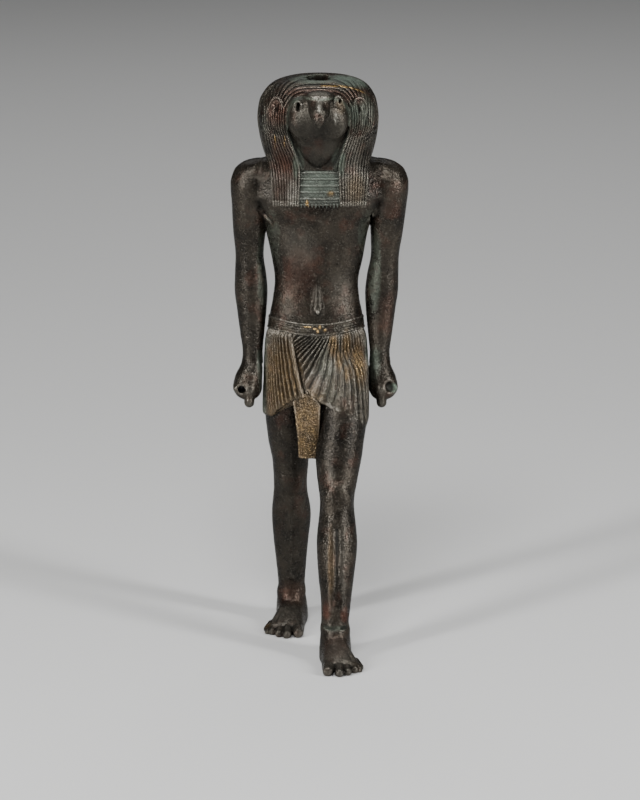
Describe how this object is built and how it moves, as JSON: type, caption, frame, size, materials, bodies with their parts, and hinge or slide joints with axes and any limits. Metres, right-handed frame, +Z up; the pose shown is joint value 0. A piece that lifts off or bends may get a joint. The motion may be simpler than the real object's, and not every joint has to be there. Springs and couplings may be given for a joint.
{
  "type": "falcon-headed striding bronze figure",
  "caption": "Striding falcon-headed man in cast bronze with a long striated wig, broad collar, pleated kilt and closed fists.",
  "frame": {"origin": "on the ground under the middle of the figure's outline", "axes": "+Z up, the figure faces -Y, its own right side is at -X"},
  "size_m": [0.0806, 0.0932, 0.2625],
  "materials": {
    "bronze": "dark brown patinated bronze, pitted, with green corrosion in recesses and worn gold inlay on the kilt"
  },
  "bodies": {
    "root": {"figure": "bronze"}
  },
  "joints": []
}
